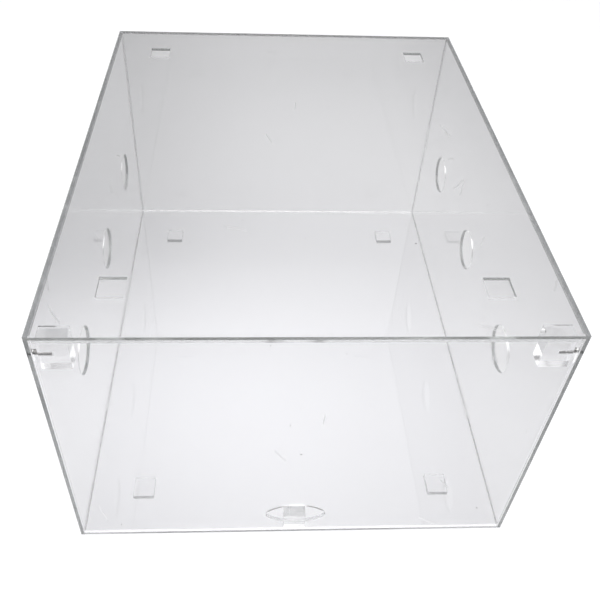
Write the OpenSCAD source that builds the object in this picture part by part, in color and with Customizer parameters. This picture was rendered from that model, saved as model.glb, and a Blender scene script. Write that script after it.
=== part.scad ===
// Stackable clear acrylic case with a top-hinged front flap.
// The origin is on the surface that the case stands on, in the middle of its plan.
// The front, with the flap, faces -Y.

/* [Case] */
// Width across the outer faces of the side walls
case_w = 400; // [340:10:500]
// Depth from the front edges to the outer face of the back wall
case_d = 480; // [430:10:600]
// Height from the underside of the floor to the top face
case_h = 280; // [220:10:400]
// Thickness of the sheet that every panel is cut from
sheet_t = 3; // [2:0.5:3.5]
// Thickness of the cement film in a bonded joint, which the parts leave free
bond = 0.05; // [0:0.01:0.1]

/* [Stacking] */
// Side of each square socket in the top panel
socket_w = 21; // [16:0.5:30]
// Middle of a socket, in from the side of the case
socket_side_inset = 53.5; // [40:0.5:80]
// Middle of a front socket, back from the front edge
socket_front_inset = 49; // [45:1:80]
// Middle of a back socket, in from the back of the case
socket_back_inset = 54; // [40:1:80]
// How much narrower a foot is than the socket of the case below it
foot_play = 1; // [0.5:0.25:2]
// Height of a foot, from the surface to the underside of the floor
foot_h = 5; // [3:0.5:8]

/* [Vents] */
// Diameter of each round vent in the side walls
vent_d = 44; // [20:2:60]
// Middle of the front vent, back from the front edge
vent_first = 110; // [90:5:120]
// Spacing of the vents along a side wall
vent_pitch = 140; // [80:5:140]
// Height of the vents above the underside of the floor
vent_z = 135; // [100:5:150]

/* [Flap] */
// Gap between the flap and each side wall
flap_side_gap = 1; // [0.5:0.25:2]
// Gap between the flap and the top panel, which its top edge swings through
flap_top_gap = 3; // [3:0.5:6]
// Gap between the flap and the floor
flap_bottom_gap = 1; // [0.5:0.25:3]
// Width of the oval finger hole
finger_w = 55; // [40:1:80]
// Height of the oval finger hole
finger_h = 30; // [20:1:36]
// Radius of the tight curve at each end of the finger hole
finger_end_r = 7; // [4:0.5:9]
// Height of the middle of the finger hole above the underside of the floor
finger_z = 32; // [26:1:60]

/* [Hinge] */
// Width of a hinge block along the flap
block_w = 22; // [14:1:30]
// Depth of a hinge block behind the flap
block_d = 12; // [8:0.5:13]
// Height of a hinge block, down from the flap's top edge
block_h = 30; // [24:1:34]
// Gap between a hinge block and the side wall
block_gap = 4; // [1.5:0.5:6]
// Diameter of a hinge pin
pin_d = 4; // [3:0.5:5]
// Middle of a pin, back from the front of its block
pin_back = 4; // [3:0.25:4.5]
// Middle of a pin, down from the flap's top edge
pin_down = 15.5; // [14.5:0.5:18]
// Length of pin inside its block
pin_grip = 9; // [6:1:11]
// Radial clearance between a pin and the bore of its block
pin_clearance = 0.05; // [0.02:0.01:0.1]
// Chamfer on the ends of a pin
pin_chamfer = 0.4; // [0.2:0.1:0.8]

/* [Stop] */
// Width of the stop block that the closed flap hangs against
stop_w = 20; // [12:1:40]
// Depth of the stop block
stop_d = 10; // [6:1:20]
// Height of the stop block above the floor
stop_h = 19; // [10:1:30]
// Gap between the closed flap and the stop block
stop_gap = 0.2; // [0.1:0.1:0.5]

/* [Hidden] */
$fn = 96;
// Cutters run this far past the faces that they cut
over = 1;
// Depth of bore beyond the end of a pin
bore_relief = 1;
VENTS = 3;

CLEAR = [0.84, 0.88, 0.91, 0.35];
STEEL = "silver";

front_y = -case_d / 2;
back_y = case_d / 2;
floor_z = foot_h;
floor_top_z = floor_z + sheet_t;
top_z = floor_z + case_h;
under_top_z = top_z - sheet_t;
inner_x = case_w / 2 - sheet_t;
floor_half_w = inner_x - bond;

socket_x = case_w / 2 - socket_side_inset;
socket_front_y = front_y + socket_front_inset;
socket_back_y = back_y - socket_back_inset;
foot_w = socket_w - foot_play;

flap_w = 2 * (inner_x - flap_side_gap);
flap_bottom_z = floor_top_z + flap_bottom_gap;
flap_top_z = under_top_z - flap_top_gap;
flap_back_y = front_y + sheet_t;

block_outer_x = inner_x - block_gap;
block_front_y = flap_back_y + bond;
hinge_y = block_front_y + pin_back;
hinge_z = flap_top_z - pin_down;
pin_len = sheet_t + block_gap + pin_grip;

// A box given by its lowest corner and its size, both as [x, y, z]
module slab(corner, size) {
    translate(corner)
        cube(size);
}

// A round bar or cutter along X, that starts at x and runs towards +X
module bar_x(x, y, z, d, length) {
    translate([x, y, z])
        rotate([0, 90, 0])
            cylinder(d = d, h = length);
}

// Mirrors a right-hand piece to the left when side is -1
module on_side(side) {
    if (side < 0) {
        mirror([1, 0, 0])
            children();
    } else {
        children();
    }
}

// Square upright prism centred on [x, y], from z upwards
module square_post(x, y, z, w, h) {
    slab([x - w / 2, y - w / 2, z], [w, w, h]);
}

module top_panel() {
    color(CLEAR)
        difference() {
            slab([-case_w / 2, front_y, under_top_z], [case_w, case_d, sheet_t]);
            for (x = [-socket_x, socket_x], y = [socket_front_y, socket_back_y])
                square_post(x, y, under_top_z - over, socket_w, sheet_t + 2 * over);
        }
}

module floor_panel() {
    color(CLEAR)
        slab([-floor_half_w, front_y, floor_z], [2 * floor_half_w, case_d, sheet_t]);
}

// A side wall reaches from the underside of the floor to the underside of the top,
// with a row of vents and a hole at its front corner that the hinge pin is cemented in
module side_wall(side) {
    color(CLEAR)
        on_side(side)
            difference() {
                slab([inner_x, front_y, floor_z], [sheet_t, case_d, under_top_z - bond - floor_z]);
                for (i = [0 : VENTS - 1])
                    bar_x(inner_x - over, front_y + vent_first + i * vent_pitch, floor_z + vent_z,
                          vent_d, sheet_t + 2 * over);
                bar_x(inner_x - over, hinge_y, hinge_z, pin_d + bond, sheet_t + 2 * over);
            }
}

// The back wall stands on the floor, between the side walls
module back_wall() {
    color(CLEAR)
        slab([-floor_half_w, back_y - sheet_t, floor_top_z + bond],
             [2 * floor_half_w, sheet_t, under_top_z - floor_top_z - 2 * bond]);
}

module foot(x, y) {
    color(CLEAR)
        square_post(x, y, 0, foot_w, foot_h - bond);
}

module stop_block() {
    color(CLEAR)
        slab([-stop_w / 2, flap_back_y + stop_gap, floor_top_z + bond], [stop_w, stop_d, stop_h]);
}

// The pin's outer end is flush with the side wall and its inner end is in the block
module hinge_pin(side) {
    body_len = pin_len - 2 * pin_chamfer;
    end_d = pin_d - 2 * pin_chamfer;
    color(STEEL)
        on_side(side)
            translate([case_w / 2 - pin_len, hinge_y, hinge_z])
                rotate([0, 90, 0])
                    union() {
                        cylinder(d1 = end_d, d2 = pin_d, h = pin_chamfer);
                        translate([0, 0, pin_chamfer])
                            cylinder(d = pin_d, h = body_len);
                        translate([0, 0, pin_chamfer + body_len])
                            cylinder(d1 = pin_d, d2 = end_d, h = pin_chamfer);
                    }
}

// Oval hole along Y: two wide arcs, each tangent to a tight arc at both ends
module finger_hole(y, length) {
    end_x = finger_w / 2 - finger_end_r;
    half_h = finger_h / 2;
    arc_r = (pow(end_x, 2) + pow(half_h, 2) - pow(finger_end_r, 2)) / (2 * (half_h - finger_end_r));
    tangent_x = end_x * (1 + finger_end_r / (arc_r - finger_end_r));
    translate([0, y, floor_z + finger_z])
        rotate([-90, 0, 0]) {
            intersection() {
                translate([0, arc_r - half_h, 0])
                    cylinder(r = arc_r, h = length);
                translate([0, half_h - arc_r, 0])
                    cylinder(r = arc_r, h = length);
                slab([-tangent_x, -half_h - over, 0], [2 * tangent_x, finger_h + 2 * over, length]);
            }
            for (x = [-end_x, end_x])
                translate([x, 0, 0])
                    cylinder(r = finger_end_r, h = length);
        }
}

module front_flap() {
    color(CLEAR)
        difference() {
            slab([-flap_w / 2, front_y, flap_bottom_z], [flap_w, sheet_t, flap_top_z - flap_bottom_z]);
            finger_hole(front_y - over, sheet_t + 2 * over);
        }
}

// A hinge block is bonded to the back of the flap, with a blind bore for the pin
module hinge_block(side) {
    bore_len = pin_grip + bore_relief;
    color(CLEAR)
        on_side(side)
            difference() {
                slab([block_outer_x - block_w, block_front_y, flap_top_z - block_h],
                     [block_w, block_d, block_h]);
                bar_x(block_outer_x - bore_len, hinge_y, hinge_z, pin_d + 2 * pin_clearance,
                      bore_len + over);
            }
}

top_panel();
floor_panel();
side_wall(-1);  // left_wall
side_wall(1);  // right_wall
back_wall();
foot(-socket_x, socket_front_y);  // front_left_foot
foot(socket_x, socket_front_y);  // front_right_foot
foot(-socket_x, socket_back_y);  // back_left_foot
foot(socket_x, socket_back_y);  // back_right_foot
stop_block();
hinge_pin(-1);  // left_hinge_pin
hinge_pin(1);  // right_hinge_pin
front_flap();
hinge_block(-1);  // left_hinge_block
hinge_block(1);  // right_hinge_block
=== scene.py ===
# A stackable case of clear acrylic sheet, with a front flap that hangs from two steel pins.
# The sections follow the bench order: the place and the light, the floor, the back, the sides,
# the top, the cement in their joints, the feet, the stop, and then the flap on its pins.

import math

import bpy
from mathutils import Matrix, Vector


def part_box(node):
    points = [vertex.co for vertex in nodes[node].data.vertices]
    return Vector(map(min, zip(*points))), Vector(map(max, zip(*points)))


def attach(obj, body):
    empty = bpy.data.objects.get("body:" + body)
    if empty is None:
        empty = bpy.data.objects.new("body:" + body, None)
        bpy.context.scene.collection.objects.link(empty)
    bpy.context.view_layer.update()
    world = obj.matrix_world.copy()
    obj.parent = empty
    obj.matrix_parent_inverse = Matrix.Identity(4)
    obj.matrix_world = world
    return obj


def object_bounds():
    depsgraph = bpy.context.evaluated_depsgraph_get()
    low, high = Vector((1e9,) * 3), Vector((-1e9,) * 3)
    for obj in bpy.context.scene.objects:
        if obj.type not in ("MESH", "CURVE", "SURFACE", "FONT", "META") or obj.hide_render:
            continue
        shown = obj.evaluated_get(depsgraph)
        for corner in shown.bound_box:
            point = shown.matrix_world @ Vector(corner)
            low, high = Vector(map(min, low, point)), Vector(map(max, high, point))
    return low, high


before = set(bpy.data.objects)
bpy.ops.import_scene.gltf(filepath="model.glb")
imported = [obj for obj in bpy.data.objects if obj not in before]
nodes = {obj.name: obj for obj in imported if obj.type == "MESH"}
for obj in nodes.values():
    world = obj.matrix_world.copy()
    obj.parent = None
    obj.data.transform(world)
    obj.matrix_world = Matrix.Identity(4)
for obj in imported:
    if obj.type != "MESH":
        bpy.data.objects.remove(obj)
cad_low, cad_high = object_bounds()

# ---------------------------------------------------------------------------------------------
# Camera. It stands just before the case and above it, a little left of its middle, and looks
# down at about 40 degrees. It takes in part of a wider view, so its lens is shifted.
EYE_LEFT = 0.0459
EYE_BEFORE_FRONT = 0.3267
EYE_ABOVE_TOP = 0.3792
EYE_PITCH = math.radians(49.77)
EYE_ROLL = math.radians(-2.11)
EYE_TURN = math.radians(-2.01)
LENS_LENGTH = 42.55
LENS_SHIFT_ACROSS = 0.028
LENS_SHIFT_UP = -0.125

camera_data = bpy.data.cameras.new("camera")
camera_data.sensor_width = 36.0
camera_data.lens = LENS_LENGTH
camera_data.shift_x = LENS_SHIFT_ACROSS
camera_data.shift_y = LENS_SHIFT_UP
camera_data.clip_start = 0.01
camera_data.clip_end = 60.0
camera_data.dof.use_dof = False
camera = bpy.data.objects.new("camera", camera_data)
bpy.context.scene.collection.objects.link(camera)
camera.location = (-EYE_LEFT, cad_low.y - EYE_BEFORE_FRONT, cad_high.z + EYE_ABOVE_TOP)
camera.rotation_euler = (EYE_PITCH, EYE_ROLL, EYE_TURN)
bpy.context.scene.camera = camera

# ---------------------------------------------------------------------------------------------
# Studio. White paper on the floor under broad soft boxes, in a room that is dim at eye level
# and paler above. The paper is white to the lens, but through the sheets and in their faces it
# shows greyer with painted shade, the more so towards the back and the sides.
ACROSS = (1.0, 0.0, 0.0)
FRONT_TO_BACK = (0.0, 1.0, 0.0)
UPRIGHT = (0.0, 0.0, 1.0)
PAPER_HALF = 8.0
PAPER_BELOW_FEET = 0.0002
PAPER_WHITE = (0.90, 0.90, 0.912, 1.0)
# The paper's greys, which it shows only through the sheets and in their faces, are painted shade.
PAPER_NEAR_PAINTED_SHADE = (0.86, 0.86, 0.87, 1.0)
PAPER_FAR_PAINTED_SHADE = (0.62, 0.62, 0.625, 1.0)
PAPER_SIDES_PAINTED_SHADE = (0.43, 0.43, 0.435, 1.0)
PAPER_PAINTED_LIGHT_AT = (-0.04, -0.10, 0.0)
PAPER_FADES_ACROSS = (0.6, 1.0, 0.0)
PAPER_FADES_BETWEEN = (0.0, 0.30)
PAPER_MIDDLE_X = 0.10
PAPER_SIDES_FADE_BETWEEN = (0.05, 0.60)
PAPER_ROUGHNESS = 0.9
PAPER_SHINE = 0.1
ROOM_LOW = (0.32, 0.32, 0.32, 1.0)
ROOM_HIGH = (0.45, 0.45, 0.46, 1.0)
ROOM_LOW_ENDS = 0.40
ROOM_HIGH_STARTS = 0.85
GLOW_WAY = (0.12, 0.60, 0.79)
GLOW_REACH = math.radians(26)
GLOW_STRENGTH = 0.9


def maths(tree, operation, *terms):
    """A Math node; each term is a number or the output of another node."""
    node = tree.nodes.new("ShaderNodeMath")
    node.operation = operation
    for place, term in enumerate(terms):
        if isinstance(term, (int, float)):
            node.inputs[place].default_value = term
        else:
            tree.links.new(term, node.inputs[place])
    return node.outputs["Value"]


def vector_maths(tree, operation, first, second):
    """A Vector Math node; each term is three numbers or the output of another node."""
    node = tree.nodes.new("ShaderNodeVectorMath")
    node.operation = operation
    for place, term in enumerate((first, second)):
        if isinstance(term, tuple):
            node.inputs[place].default_value = term
        else:
            tree.links.new(term, node.inputs[place])
    return node.outputs["Value" if operation == "DOT_PRODUCT" else "Vector"]


def smooth_step(tree, value, low, high):
    """0 below low, 1 above high, and a smooth rise between them."""
    node = tree.nodes.new("ShaderNodeMapRange")
    node.interpolation_type = "SMOOTHSTEP"
    node.inputs["From Min"].default_value = low
    node.inputs["From Max"].default_value = high
    tree.links.new(value, node.inputs["Value"])
    return node.outputs["Result"]


def blend_colour(tree, mask, first, second):
    """first where the mask is 0 and second where it is 1."""
    node = tree.nodes.new("ShaderNodeMix")
    node.data_type = "RGBA"
    tree.links.new(mask, node.inputs["Factor"])
    colour_sockets = [socket for socket in node.inputs if socket.type == "RGBA"]
    for socket, colour in zip(colour_sockets, (first, second)):
        if isinstance(colour, tuple):
            socket.default_value = colour
        else:
            tree.links.new(colour, socket)
    return [socket for socket in node.outputs if socket.type == "RGBA"][0]


bpy.ops.object.select_all(action="DESELECT")
bpy.ops.mesh.primitive_plane_add(size=2 * PAPER_HALF, location=(0, 0, cad_low.z - PAPER_BELOW_FEET))
paper_sheet = bpy.context.active_object
paper_sheet.name = "studio_paper"
bpy.ops.object.transform_apply(location=True, rotation=True, scale=True)
paper_with_painted_shade = bpy.data.materials.new("paper_with_painted_shade")
paper_with_painted_shade.use_nodes = True
paper_tree = paper_with_painted_shade.node_tree
paper_shader = paper_tree.nodes["Principled BSDF"]
# Painted shade: away from a bright spot near the front, the paper seen through the sheets turns greyer,
# and greyer still towards the sides.
paper_place = paper_tree.nodes.new("ShaderNodeTexCoord").outputs["Object"]
paper_way = vector_maths(paper_tree, "SUBTRACT", paper_place, PAPER_PAINTED_LIGHT_AT)
paper_way = vector_maths(paper_tree, "MULTIPLY", paper_way, PAPER_FADES_ACROSS)
paper_distance = maths(paper_tree, "SQRT", vector_maths(paper_tree, "DOT_PRODUCT", paper_way, paper_way))
paper_shade_fade = smooth_step(paper_tree, paper_distance, *PAPER_FADES_BETWEEN)
paper_across = vector_maths(paper_tree, "DOT_PRODUCT", paper_place, ACROSS)
paper_across = maths(paper_tree, "SUBTRACT", paper_across, PAPER_MIDDLE_X)
paper_across = maths(paper_tree, "ABSOLUTE", paper_across)
paper_side_shade_fade = smooth_step(paper_tree, paper_across, *PAPER_SIDES_FADE_BETWEEN)
paper_far_shade = blend_colour(paper_tree, paper_side_shade_fade, PAPER_FAR_PAINTED_SHADE, PAPER_SIDES_PAINTED_SHADE)
paper_painted_shade = blend_colour(paper_tree, paper_shade_fade, PAPER_NEAR_PAINTED_SHADE, paper_far_shade)
paper_path = paper_tree.nodes.new("ShaderNodeLightPath")
paper_colour = blend_colour(paper_tree, paper_path.outputs["Is Camera Ray"], paper_painted_shade, PAPER_WHITE)
paper_tree.links.new(paper_colour, paper_shader.inputs["Base Color"])
paper_shader.inputs["Roughness"].default_value = PAPER_ROUGHNESS
paper_shader.inputs["Specular IOR Level"].default_value = PAPER_SHINE
paper_sheet.data.materials.append(paper_with_painted_shade)

room = bpy.data.worlds.new("dim_room")
bpy.context.scene.world = room
room.use_nodes = True
room_tree = room.node_tree
room_way = room_tree.nodes.new("ShaderNodeTexCoord")
room_height = room_tree.nodes.new("ShaderNodeSeparateXYZ")
room_tree.links.new(room_way.outputs["Generated"], room_height.inputs["Vector"])
room_shade = room_tree.nodes.new("ShaderNodeValToRGB")
room_shade.color_ramp.elements[0].position = ROOM_LOW_ENDS
room_shade.color_ramp.elements[0].color = ROOM_LOW
room_shade.color_ramp.elements[1].position = ROOM_HIGH_STARTS
room_shade.color_ramp.elements[1].color = ROOM_HIGH
room_tree.links.new(room_height.outputs["Z"], room_shade.inputs["Fac"])
glow_facing = vector_maths(room_tree, "DOT_PRODUCT", room_way.outputs["Generated"], GLOW_WAY)
glow_shade = smooth_step(room_tree, glow_facing, math.cos(GLOW_REACH), 1.0)
glow_shade = maths(room_tree, "MULTIPLY", glow_shade, GLOW_STRENGTH)
room_light = vector_maths(room_tree, "ADD", room_shade.outputs["Color"], glow_shade)
room_tree.links.new(room_light, room_tree.nodes["Background"].inputs["Color"])


def soft_box(name, place, aim, width, height, watts):
    """A broad lamp of width by height, at place and facing aim."""
    lamp = bpy.data.lights.new(name, "AREA")
    lamp.shape = "RECTANGLE"
    lamp.size = width
    lamp.size_y = height
    lamp.energy = watts
    holder = bpy.data.objects.new(name, lamp)
    bpy.context.scene.collection.objects.link(holder)
    holder.location = place
    facing = Vector(aim) - Vector(place)
    holder.rotation_euler = facing.to_track_quat("-Z", "Y").to_euler()


soft_box("overhead_box", (0.0, -1.1, 3.4), (0.0, -1.1, 0.0), width=5.0, height=4.2, watts=143)
soft_box("far_box", (0.0, 3.6, 1.0), (0.0, 1.2, 0.0), width=4.0, height=1.0, watts=24)
soft_box("left_box", (-2.8, -0.6, 1.7), (0.0, 0.2, 0.1), width=2.0, height=1.6, watts=8)
soft_box("right_box", (2.8, -0.2, 1.9), (0.0, 0.2, 0.1), width=2.0, height=1.6, watts=7)

# A sheet carries light from edge to edge by many bounces between its faces. The paper inside
# the case is lit straight through the sheets, so light that they bend onto it isn't counted.
MOST_BOUNCES = 96
MOST_FACES = 32
scene = bpy.context.scene
scene.view_settings.view_transform = "Standard"
scene.view_settings.look = "None"
scene.view_settings.exposure = 0.0
scene.cycles.max_bounces = MOST_BOUNCES
scene.cycles.glossy_bounces = MOST_BOUNCES
scene.cycles.transmission_bounces = MOST_BOUNCES
scene.cycles.transparent_max_bounces = MOST_FACES
scene.cycles.caustics_refractive = False
scene.cycles.caustics_reflective = False

# ---------------------------------------------------------------------------------------------
# Floor panel. A sheet of clear cast acrylic between the side walls, polished on its faces and
# sawn at its edges. Like all the sheets it has a trace of ripple, hairlines, smears and dust.
RIPPLES_PER_METRE = 3.5
RIPPLE_HEIGHT = 0.0002
SAW_MARKS_PER_METRE = 900.0
SAW_MARK_DEPTH = 0.00002
EDGE_IF_FACING_UNDER = 0.5
HAIRLINE_SETS = ((9.0, 0.035), (21.0, 0.014))
HAIRLINE_FULL_PART = 0.3
HAIRLINE_HALF_WIDTH = 0.0003
HAIRLINE_BENDS_PER_METRE = 22.0
HAIRLINE_SWAY = 0.02
HAIRLINE_DEPTH = 0.00001
SMEARS_PER_METRE = 9.0
SMEARS_BETWEEN = (0.45, 0.8)
WIPE_TURN = (0.48, 0.28, 0.8)
WIPE_STRETCH = (50.0, 5.0, 50.0)
WIPES_BETWEEN = (0.5, 0.75)
WIPE_SHARE = 0.5
SPECKS_PER_METRE = 55.0
SPECK_RADIUS = 0.045
FACE_ROUGHNESS = 0.02
HAZE_ROUGHNESS = 0.10
HAIRLINE_ROUGHNESS = 0.35
SAW_MARK_ROUGHNESS = 0.08
HAIRLINE_GREY = (0.82, 0.82, 0.82, 1.0)
DUST_GREY = (0.22, 0.20, 0.18, 1.0)
ACRYLIC_IOR = 1.49
# Each stock's edge colour greys its cut edges with painted shade; the edges' roughness and saw marks are
# real.
SHEET = {
    "tint": (0.972, 0.972, 0.976, 1.0),
    "painted_edge_shade": (0.52, 0.535, 0.53, 1.0),
    "edge_roughness": 0.16,
    "lamplight_per_face": (0.965, 0.965, 0.968, 1.0),
}


def cloud(tree, place, scale, detail):
    """Soft noise between 0 and 1."""
    node = tree.nodes.new("ShaderNodeTexNoise")
    node.inputs["Scale"].default_value = scale
    node.inputs["Detail"].default_value = detail
    tree.links.new(place, node.inputs["Vector"])
    return node.outputs["Fac"]


def turned(tree, place, turn, stretch):
    """Coordinates turned askew and stretched, so that what is drawn on them runs in streaks."""
    node = tree.nodes.new("ShaderNodeMapping")
    node.inputs["Rotation"].default_value = turn
    node.inputs["Scale"].default_value = stretch
    tree.links.new(place, node.inputs["Vector"])
    return node.outputs["Vector"]


def add_relief(tree, height):
    """Raises the material's surface by height, in metres."""
    bump = tree.nodes.new("ShaderNodeBump")
    bump.inputs["Strength"].default_value = 1.0
    bump.inputs["Distance"].default_value = 1.0
    tree.links.new(height, bump.inputs["Height"])
    tree.links.new(bump.outputs["Normal"], tree.nodes["Principled BSDF"].inputs["Normal"])


def effect_group(name, takes, gives):
    """An empty shader node group, its two ends, and the object's own coordinates inside it."""
    group = bpy.data.node_groups.new(name, "ShaderNodeTree")
    for label, kind in takes.items():
        group.interface.new_socket(label, in_out="INPUT", socket_type=kind)
    for label in gives:
        group.interface.new_socket(label, in_out="OUTPUT", socket_type="NodeSocketFloat")
    entry = group.nodes.new("NodeGroupInput")
    leave = group.nodes.new("NodeGroupOutput")
    where = group.nodes.new("ShaderNodeTexCoord")
    return group, entry, leave, where


def make_sawn_edges():
    """Tells sawn edges from polished faces by the way they face, and draws the saw's marks."""
    group, entry, leave, where = effect_group(
        "sawn_edges", {"Thin Axis": "NodeSocketVector"}, ("Edge", "Saw Marks"))
    thin_axis = entry.outputs["Thin Axis"]
    facing = vector_maths(group, "DOT_PRODUCT", where.outputs["Normal"], thin_axis)
    edge = maths(group, "LESS_THAN", maths(group, "ABSOLUTE", facing), EDGE_IF_FACING_UNDER)
    in_plane = vector_maths(group, "SUBTRACT", (1.0, 1.0, 1.0), thin_axis)
    along = vector_maths(group, "MULTIPLY", where.outputs["Object"], in_plane)
    marks = maths(group, "MULTIPLY", cloud(group, along, SAW_MARKS_PER_METRE, detail=3.0), edge)
    group.links.new(edge, leave.inputs["Edge"])
    group.links.new(marks, leave.inputs["Saw Marks"])
    return group


def make_hairlines():
    """Fine, slightly bent scratches, where things were slid over the sheet: one to a cell."""
    group, entry, leave, where = effect_group(
        "hairlines", {"Thin Axis": "NodeSocketVector", "Amount": "NodeSocketFloat"}, ("Hairlines",))
    in_plane = vector_maths(group, "SUBTRACT", (1.0, 1.0, 1.0), entry.outputs["Thin Axis"])
    flat = vector_maths(group, "MULTIPLY", where.outputs["Object"], in_plane)
    sway = group.nodes.new("ShaderNodeTexNoise")
    sway.inputs["Scale"].default_value = HAIRLINE_BENDS_PER_METRE
    group.links.new(flat, sway.inputs["Vector"])
    reach = vector_maths(group, "MULTIPLY", sway.outputs["Color"], (HAIRLINE_SWAY,) * 3)
    bent = vector_maths(group, "ADD", flat, reach)
    lines = None
    for cells_per_metre, half_length in HAIRLINE_SETS:
        cells = group.nodes.new("ShaderNodeTexVoronoi")
        cells.inputs["Scale"].default_value = cells_per_metre
        group.links.new(bent, cells.inputs["Vector"])
        from_middle = vector_maths(group, "SUBTRACT", bent, cells.outputs["Position"])
        from_middle = vector_maths(group, "MULTIPLY", from_middle, in_plane)
        heading = vector_maths(group, "SUBTRACT", cells.outputs["Color"], (0.5, 0.5, 0.5))
        heading = vector_maths(group, "MULTIPLY", heading, in_plane)
        heading = vector_maths(group, "NORMALIZE", heading, (0.0, 0.0, 0.0))
        along = maths(group, "ABSOLUTE", vector_maths(group, "DOT_PRODUCT", from_middle, heading))
        beside = vector_maths(group, "CROSS_PRODUCT", from_middle, heading)
        beside = vector_maths(group, "DOT_PRODUCT", beside, beside)
        narrow = maths(group, "LESS_THAN", beside, HAIRLINE_HALF_WIDTH ** 2)
        faded = smooth_step(group, along, HAIRLINE_FULL_PART * half_length, half_length)
        faded = maths(group, "SUBTRACT", 1.0, faded)
        lot = group.nodes.new("ShaderNodeSeparateColor")
        group.links.new(cells.outputs["Color"], lot.inputs["Color"])
        chosen = maths(group, "LESS_THAN", lot.outputs["Blue"], entry.outputs["Amount"])
        line = maths(group, "MULTIPLY", maths(group, "MULTIPLY", narrow, faded), chosen)
        lines = line if lines is None else maths(group, "MAXIMUM", lines, line)
    group.links.new(lines, leave.inputs["Hairlines"])
    return group


def make_smears():
    """The haze of handling: soft blots, and streaks where the sheet was wiped."""
    group, entry, leave, where = effect_group(
        "smears", {"Amount": "NodeSocketFloat"}, ("Haze",))
    place = where.outputs["Object"]
    blots = smooth_step(group, cloud(group, place, SMEARS_PER_METRE, detail=5.0), *SMEARS_BETWEEN)
    streaks = cloud(group, turned(group, place, WIPE_TURN, WIPE_STRETCH), 1.0, detail=2.0)
    wiped = maths(group, "MULTIPLY", smooth_step(group, streaks, *WIPES_BETWEEN), WIPE_SHARE)
    both = maths(group, "ADD", blots, wiped)
    group.links.new(maths(group, "MULTIPLY", both, entry.outputs["Amount"]), leave.inputs["Haze"])
    return group


def make_dust():
    """Dust: a few dark specks, each in a cell of its own."""
    group, entry, leave, where = effect_group(
        "dust", {"Amount": "NodeSocketFloat"}, ("Specks",))
    cells = group.nodes.new("ShaderNodeTexVoronoi")
    cells.inputs["Scale"].default_value = SPECKS_PER_METRE
    group.links.new(where.outputs["Object"], cells.inputs["Vector"])
    near = maths(group, "LESS_THAN", cells.outputs["Distance"], SPECK_RADIUS)
    lot = group.nodes.new("ShaderNodeSeparateColor")
    group.links.new(cells.outputs["Color"], lot.inputs["Color"])
    chosen = maths(group, "LESS_THAN", lot.outputs["Red"], entry.outputs["Amount"])
    group.links.new(maths(group, "MULTIPLY", near, chosen), leave.inputs["Specks"])
    return group


sawn_edges = make_sawn_edges()
hairlines = make_hairlines()
smears = make_smears()
dust = make_dust()


def place_group(tree, group, **values):
    """A node that shows the group, with plain values on the inputs named."""
    node = tree.nodes.new("ShaderNodeGroup")
    node.node_tree = group
    for label, value in values.items():
        node.inputs[label.replace("_", " ").title()].default_value = value
    return node


def finish_clear(material, lamplight_per_face):
    """Makes a material clear, and lets the lamps shine straight through each of its faces."""
    tree = material.node_tree
    shader = tree.nodes["Principled BSDF"]
    shader.inputs["IOR"].default_value = ACRYLIC_IOR
    shader.inputs["Transmission Weight"].default_value = 1.0
    path = tree.nodes.new("ShaderNodeLightPath")
    lamplight = tree.nodes.new("ShaderNodeBsdfTransparent")
    lamplight.inputs["Color"].default_value = lamplight_per_face
    surface = shader.outputs["BSDF"]
    for ray in ("Is Diffuse Ray", "Is Shadow Ray"):
        pick = tree.nodes.new("ShaderNodeMixShader")
        tree.links.new(path.outputs[ray], pick.inputs["Fac"])
        tree.links.new(surface, pick.inputs[1])
        tree.links.new(lamplight.outputs["BSDF"], pick.inputs[2])
        surface = pick.outputs["Shader"]
    tree.links.new(surface, tree.nodes["Material Output"].inputs["Surface"])


def clear_acrylic(name, stock, thin_axis, hairline_share, haze, dust_share):
    """Cast acrylic cut square to thin_axis: clear through its faces, duller on its cut edges, which are
    greyed with painted shade.
    """
    material = bpy.data.materials.new(name)
    material.use_nodes = True
    tree = material.node_tree
    shader = tree.nodes["Principled BSDF"]
    where = tree.nodes.new("ShaderNodeTexCoord")
    cut = place_group(tree, sawn_edges, thin_axis=thin_axis)
    edge = cut.outputs["Edge"]
    marks = cut.outputs["Saw Marks"]
    lines = place_group(tree, hairlines, thin_axis=thin_axis, amount=hairline_share)
    lines = maths(tree, "MULTIPLY", lines.outputs["Hairlines"], maths(tree, "SUBTRACT", 1.0, edge))
    hazed = place_group(tree, smears, amount=haze).outputs["Haze"]
    specks = place_group(tree, dust, amount=dust_share).outputs["Specks"]

    # Painted shade: the cut edges take the stock's grey edge colour.
    colour = blend_colour(tree, edge, stock["tint"], stock["painted_edge_shade"])
    colour = blend_colour(tree, lines, colour, HAIRLINE_GREY)
    colour = blend_colour(tree, specks, colour, DUST_GREY)
    tree.links.new(colour, shader.inputs["Base Color"])

    face_roughness = maths(tree, "MULTIPLY_ADD", hazed, HAZE_ROUGHNESS, FACE_ROUGHNESS)
    face_roughness = maths(tree, "MULTIPLY_ADD", lines, HAIRLINE_ROUGHNESS, face_roughness)
    edge_roughness = maths(tree, "MULTIPLY", edge, stock["edge_roughness"])
    edge_roughness = maths(tree, "MULTIPLY_ADD", marks, SAW_MARK_ROUGHNESS, edge_roughness)
    tree.links.new(maths(tree, "MAXIMUM", face_roughness, edge_roughness), shader.inputs["Roughness"])

    height = cloud(tree, where.outputs["Object"], RIPPLES_PER_METRE, detail=0.0)
    height = maths(tree, "MULTIPLY", height, RIPPLE_HEIGHT)
    height = maths(tree, "MULTIPLY_ADD", lines, -HAIRLINE_DEPTH, height)
    height = maths(tree, "MULTIPLY_ADD", marks, SAW_MARK_DEPTH, height)
    add_relief(tree, height)

    finish_clear(material, stock["lamplight_per_face"])
    return material


def dress(node_name, material):
    """Gives a CAD piece its finish."""
    piece = nodes[node_name]
    piece.data.materials.clear()
    piece.data.materials.append(material)


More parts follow.
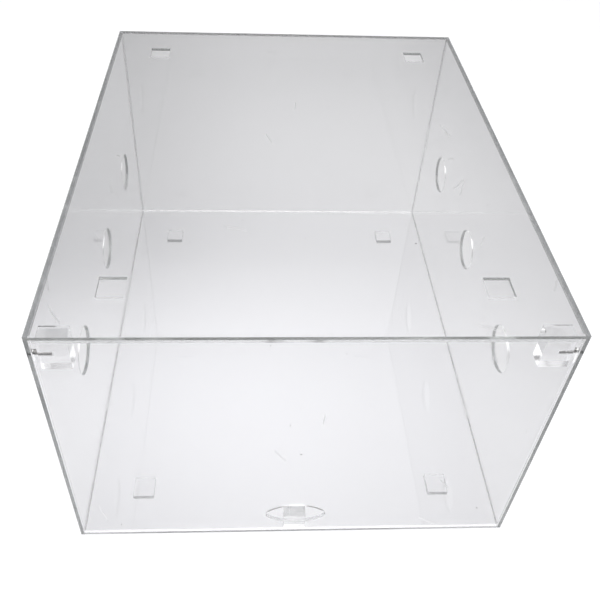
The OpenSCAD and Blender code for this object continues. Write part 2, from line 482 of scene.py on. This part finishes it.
# The floor's edges carry paler painted shade than the walls'.
FLOOR_SHEET = {**SHEET, "painted_edge_shade": (0.90, 0.91, 0.91, 1.0), "edge_roughness": 0.50}
floor_sheet = clear_acrylic(
    "floor_sheet", FLOOR_SHEET, UPRIGHT, hairline_share=0.05, haze=0.35, dust_share=0.12)
dress("floor_panel", floor_sheet)

# ---------------------------------------------------------------------------------------------
# Back wall. The same sheet, standing on the floor panel between the side walls and cemented on
# all four edges. It is seldom touched, so it has few marks.
# The back wall's edges carry darker painted shade.
BACK_SHEET = {**SHEET, "painted_edge_shade": (0.34, 0.345, 0.345, 1.0)}
back_sheet = clear_acrylic(
    "back_sheet", BACK_SHEET, FRONT_TO_BACK, hairline_share=0.03, haze=0.45, dust_share=0.06)
dress("back_wall", back_sheet)

# ---------------------------------------------------------------------------------------------
# Side walls. Two sheets that reach from the underside of the floor to the underside of the top,
# each with three round vents, cut through, and a small hole for a hinge pin.
# The side walls' edges carry darker painted shade.
SIDE_SHEET = {**SHEET, "painted_edge_shade": (0.36, 0.37, 0.37, 1.0)}
side_sheet = clear_acrylic(
    "side_sheet", SIDE_SHEET, ACROSS, hairline_share=0.05, haze=0.40, dust_share=0.05)
for side in ("left", "right"):
    dress(f"{side}_wall", side_sheet)

# ---------------------------------------------------------------------------------------------
# Top panel. One sheet laid over the walls, with four square sockets that take the feet of the
# case stacked above it. Cases slide over it, so it has the most hairlines.
top_sheet = clear_acrylic(
    "top_sheet", SHEET, UPRIGHT, hairline_share=0.10, haze=0.60, dust_share=0.05)
dress("top_panel", top_sheet)

# ---------------------------------------------------------------------------------------------
# Cement beads. Thin acrylic cement runs along the inside of each joint and sets as a small clear
# fillet with a hollow face and a few trapped bubbles, a hair off the sheets that it holds.
BEAD = 0.0011
BEAD_OFF_SHEET = 0.00005
BEAD_BEHIND_FLAP = 0.001
BEAD_LIP = 0.00008
BEAD_FACETS = 6
BEAD_HOLLOW = 0.12
BEAD_SMOOTH_UNDER = math.radians(40)
BUBBLES_PER_METRE = 700.0
BUBBLE_RADIUS = 0.24
BUBBLE_SHARE = 0.22
BUBBLE_DEPTH = 0.00006
CEMENT_CLEAR = (0.74, 0.74, 0.74, 1.0)
CEMENT_BUBBLE = (0.56, 0.56, 0.57, 1.0)
CEMENT_ROUGHNESS = 0.06
BUBBLE_ROUGHNESS = 0.30
CEMENT_LAMPLIGHT = (0.97, 0.97, 0.97, 1.0)

cement = bpy.data.materials.new("set_cement")
cement.use_nodes = True
cement_tree = cement.node_tree
cement_shader = cement_tree.nodes["Principled BSDF"]
cement_place = cement_tree.nodes.new("ShaderNodeTexCoord").outputs["Object"]
bubble_cells = cement_tree.nodes.new("ShaderNodeTexVoronoi")
bubble_cells.inputs["Scale"].default_value = BUBBLES_PER_METRE
cement_tree.links.new(cement_place, bubble_cells.inputs["Vector"])
bubble_lot = cement_tree.nodes.new("ShaderNodeSeparateColor")
cement_tree.links.new(bubble_cells.outputs["Color"], bubble_lot.inputs["Color"])
bubble_here = maths(cement_tree, "LESS_THAN", bubble_lot.outputs["Red"], BUBBLE_SHARE)
bubble = smooth_step(cement_tree, bubble_cells.outputs["Distance"], 0.0, BUBBLE_RADIUS)
bubble = maths(cement_tree, "MULTIPLY", maths(cement_tree, "SUBTRACT", 1.0, bubble), bubble_here)
cement_tree.links.new(
    blend_colour(cement_tree, bubble, CEMENT_CLEAR, CEMENT_BUBBLE), cement_shader.inputs["Base Color"])
cement_gloss = maths(cement_tree, "MULTIPLY_ADD", bubble, BUBBLE_ROUGHNESS, CEMENT_ROUGHNESS)
cement_tree.links.new(cement_gloss, cement_shader.inputs["Roughness"])
add_relief(cement_tree, maths(cement_tree, "MULTIPLY", bubble, BUBBLE_DEPTH))
finish_clear(cement, CEMENT_LAMPLIGHT)


def cement_bead(name, low, high, hollow):
    """A bead that fills the box from low to high, hollowed along the edge on the hollow side."""
    low = Vector(low)
    high = Vector(high)
    bpy.ops.object.select_all(action="DESELECT")
    bpy.ops.mesh.primitive_cube_add(size=1.0, location=(low + high) / 2, scale=high - low)
    bpy.ops.object.transform_apply(location=True, rotation=True, scale=True)
    bead = bpy.context.active_object
    bead.name = name
    points = bead.data.vertices
    bpy.ops.object.mode_set(mode="EDIT")
    bpy.ops.mesh.select_mode(type="EDGE")
    bpy.ops.mesh.select_all(action="DESELECT")
    bpy.ops.object.mode_set(mode="OBJECT")
    room_side = [high[axis] if hollow[axis] > 0 else low[axis] for axis in range(3)]
    for edge in bead.data.edges:
        edge.select = all(
            abs(points[end].co[axis] - room_side[axis]) < BEAD_LIP
            for end in edge.vertices for axis in range(3) if hollow[axis])
    bpy.ops.object.mode_set(mode="EDIT")
    bpy.ops.mesh.bevel(offset=BEAD - BEAD_LIP, segments=BEAD_FACETS, profile=BEAD_HOLLOW, affect="EDGES")
    bpy.ops.object.mode_set(mode="OBJECT")
    bpy.ops.object.shade_smooth_by_angle(angle=BEAD_SMOOTH_UNDER)
    bead.data.materials.append(cement)
    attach(bead, "case")


bead_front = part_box("front_flap")[1].y + BEAD_BEHIND_FLAP
bead_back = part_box("back_wall")[0].y - BEAD_OFF_SHEET
bead_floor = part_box("floor_panel")[1].z + BEAD_OFF_SHEET
bead_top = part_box("top_panel")[0].z - BEAD_OFF_SHEET
bead_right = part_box("right_wall")[0].x - BEAD_OFF_SHEET
beside_bead = BEAD + BEAD_OFF_SHEET
upright_foot = bead_floor + beside_bead
upright_head = bead_top - beside_bead
across_end = bead_right - beside_bead
for side, way in (("left", -1), ("right", 1)):
    x_outer = way * bead_right
    x_inner = way * (bead_right - BEAD)
    x_low = min(x_outer, x_inner)
    x_high = max(x_outer, x_inner)
    cement_bead(
        f"{side}_floor_bead", (x_low, bead_front, bead_floor), (x_high, bead_back, bead_floor + BEAD),
        (-way, 0, 1))
    cement_bead(
        f"{side}_top_bead", (x_low, bead_front, bead_top - BEAD), (x_high, bead_back, bead_top),
        (-way, 0, -1))
    cement_bead(
        f"{side}_back_bead", (x_low, bead_back - BEAD, upright_foot), (x_high, bead_back, upright_head),
        (-way, -1, 0))
cement_bead(
    "back_floor_bead", (-across_end, bead_back - BEAD, bead_floor),
    (across_end, bead_back, bead_floor + BEAD), (0, -1, 1))
cement_bead(
    "back_top_bead", (-across_end, bead_back - BEAD, bead_top - BEAD),
    (across_end, bead_back, bead_top), (0, -1, -1))

# ---------------------------------------------------------------------------------------------
# Feet. Squares of thicker acrylic, cemented under the floor below the sockets. Their faces are
# polished and their sawn sides were only scraped; the grey that the sides show through the floor
# is painted shade.
FOOT_STOCK = {
    "tint": (0.99, 0.99, 0.99, 1.0),
    "painted_edge_shade": (0.34, 0.345, 0.345, 1.0),
    "edge_roughness": 0.22,
    "lamplight_per_face": (0.985, 0.985, 0.985, 1.0),
}
foot_block = clear_acrylic(
    "foot_block", FOOT_STOCK, UPRIGHT, hairline_share=0.10, haze=0.50, dust_share=0.0)
for foot in ("front_left", "front_right", "back_left", "back_right"):
    dress(f"{foot}_foot", foot_block)

# ---------------------------------------------------------------------------------------------
# Stop block. A small piece of thick acrylic, cemented to the floor just behind the flap, that
# the flap's lower edge rests against.
# The stop's edge colour is painted shade as well.
STOP_STOCK = {**FOOT_STOCK, "tint": (0.90, 0.90, 0.90, 1.0), "painted_edge_shade": (0.70, 0.705, 0.705, 1.0)}
stop_piece = clear_acrylic(
    "stop_piece", STOP_STOCK, FRONT_TO_BACK, hairline_share=0.10, haze=0.50, dust_share=0.0)
dress("stop_block", stop_piece)

# ---------------------------------------------------------------------------------------------
# Front flap. One sheet, a millimetre clear of the walls and the floor, with an oval finger hole
# low in its middle. Fingers leave the most smears here.
# The flap's edges carry paler painted shade.
FLAP_SHEET = {**SHEET, "painted_edge_shade": (0.88, 0.89, 0.89, 1.0), "edge_roughness": 0.10}
flap_sheet = clear_acrylic(
    "flap_sheet", FLAP_SHEET, FRONT_TO_BACK, hairline_share=0.05, haze=0.70, dust_share=0.05)
dress("front_flap", flap_sheet)

# ---------------------------------------------------------------------------------------------
# Hinge blocks. Two pieces of thick acrylic, cemented behind the flap's top corners, each with a
# blind bore for its pin.
# The hinge blocks' edge colour is painted shade as well.
HINGE_STOCK = {
    "tint": (0.985, 0.985, 0.987, 1.0),
    "painted_edge_shade": (0.90, 0.905, 0.905, 1.0),
    "edge_roughness": 0.08,
    "lamplight_per_face": (0.97, 0.97, 0.97, 1.0),
}
hinge_block = clear_acrylic(
    "hinge_block", HINGE_STOCK, FRONT_TO_BACK, hairline_share=0.10, haze=0.40, dust_share=0.0)
for side in ("left", "right"):
    dress(f"{side}_hinge_block", hinge_block)

# ---------------------------------------------------------------------------------------------
# Hinge pins. Two ground steel pins with chamfered ends, each held in a side wall and free in
# the bore of its hinge block. Grinding leaves fine rings round them, and turning leaves rubs.
STEEL_PALE = (0.44, 0.435, 0.43, 1.0)
STEEL_DARK = (0.17, 0.165, 0.16, 1.0)
GRINDING_RINGS = (6000.0, 150.0, 150.0)
RUBS = (120.0, 2200.0, 2200.0)
RUBS_BETWEEN = (0.56, 0.72)
RUB_SHARE = 0.5
STEEL_PALES_BETWEEN = (0.35, 1.0)
STEEL_ROUGHNESS = 0.14
RING_ROUGHNESS = 0.16
RING_DEPTH = 0.000008

steel = bpy.data.materials.new("ground_steel")
steel.use_nodes = True
steel_tree = steel.node_tree
steel_shader = steel_tree.nodes["Principled BSDF"]
steel_place = steel_tree.nodes.new("ShaderNodeTexCoord").outputs["Object"]
rings = vector_maths(steel_tree, "MULTIPLY", steel_place, GRINDING_RINGS)
rings = cloud(steel_tree, rings, 1.0, detail=3.0)
rubs = vector_maths(steel_tree, "MULTIPLY", steel_place, RUBS)
rubs = smooth_step(steel_tree, cloud(steel_tree, rubs, 1.0, detail=2.0), *RUBS_BETWEEN)
steel_tone = maths(steel_tree, "MULTIPLY_ADD", rubs, RUB_SHARE, rings)
steel_tone = smooth_step(steel_tree, steel_tone, *STEEL_PALES_BETWEEN)
steel_colour = blend_colour(steel_tree, steel_tone, STEEL_DARK, STEEL_PALE)
steel_tree.links.new(steel_colour, steel_shader.inputs["Base Color"])
steel_polish = maths(steel_tree, "MULTIPLY_ADD", rings, RING_ROUGHNESS, STEEL_ROUGHNESS)
steel_tree.links.new(steel_polish, steel_shader.inputs["Roughness"])
add_relief(steel_tree, maths(steel_tree, "MULTIPLY", rings, RING_DEPTH))
steel_shader.inputs["Metallic"].default_value = 1.0
for side in ("left", "right"):
    dress(f"{side}_hinge_pin", steel)
